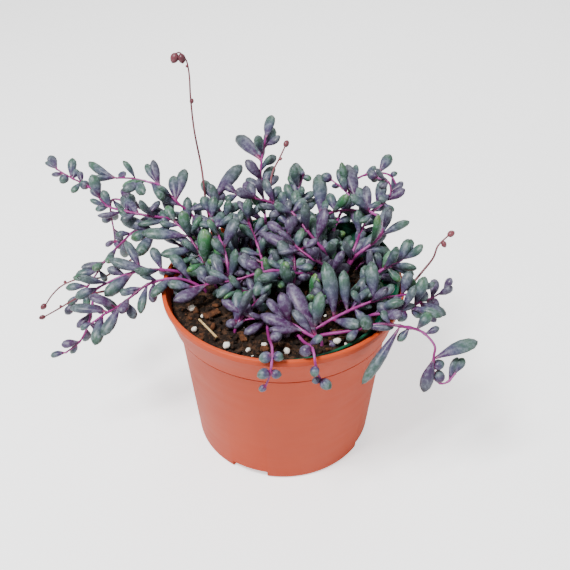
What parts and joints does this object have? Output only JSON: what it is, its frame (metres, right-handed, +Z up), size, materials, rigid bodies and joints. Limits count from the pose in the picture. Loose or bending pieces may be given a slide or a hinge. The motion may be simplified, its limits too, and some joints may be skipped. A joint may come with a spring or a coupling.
{
  "type": "potted othonna",
  "caption": "Trailing othonna with slender grey-green and purple leaves on magenta stems, in a green nursery liner set tilted inside a terracotta-coloured pot.",
  "frame": {"origin": "centre of the outer pot's flat underside", "axes": "+Z up, -Y towards the front, +X to the right seen from the front"},
  "size_m": [0.2466, 0.1751, 0.2026],
  "materials": {
    "terracotta_plastic": "satin moulded plastic, terracotta coloured, paler on the lip",
    "green_plastic": "satin dark green moulded plastic",
    "potting_mix": "rough dark brown crumbs, matte",
    "perlite": "rough off-white grains",
    "bark": "rough, matte",
    "straw": "dry, matte",
    "foliage": "waxy bloom, grey-green tips running to purple bases, on magenta stems",
    "flower_stalk": "thin brown-plum stalk, matte"
  },
  "bodies": {
    "root": {"outer_pot": "terracotta_plastic", "nursery_liner": "green_plastic", "potting_mix": "potting_mix", "perlite_grain_1": "perlite", "perlite_grain_2": "perlite", "perlite_grain_3": "perlite", "perlite_grain_4": "perlite", "perlite_grain_5": "perlite", "perlite_grain_6": "perlite", "perlite_grain_7": "perlite", "perlite_grain_8": "perlite", "bark_chip_1": "bark", "bark_chip_2": "bark", "straw_piece": "straw", "stem_high_left": "foliage", "stem_far_left": "foliage", "stem_hanging_left": "foliage", "stem_mid_left": "foliage", "stem_low_left": "foliage", "stem_front_left": "foliage", "stem_shoulder_left": "foliage", "stem_front_pink": "foliage", "stem_broad_purple": "foliage", "stem_centre_back": "foliage", "stem_centre_left": "foliage", "stem_centre_right": "foliage", "stem_back_left_thick": "foliage", "stem_back_top": "foliage", "stem_back_right_top": "foliage", "stem_long_back": "foliage", "stem_arching_right": "foliage", "stem_back_right": "foliage", "stem_tendril_right": "foliage", "stem_curl_right": "foliage", "stem_front_right": "foliage", "stem_loop_right": "foliage", "stem_right_knot": "foliage", "stem_right_upright": "foliage", "stem_front_centre": "foliage", "stem_front_beads": "foliage", "stem_front_beads_right": "foliage", "stem_front_tuft": "foliage", "flower_stalk_tall": "flower_stalk", "flower_stalk_back": "flower_stalk", "flower_stalk_left": "flower_stalk", "flower_stalk_left_low": "flower_stalk", "flower_stalk_right": "flower_stalk"}
  },
  "joints": []
}
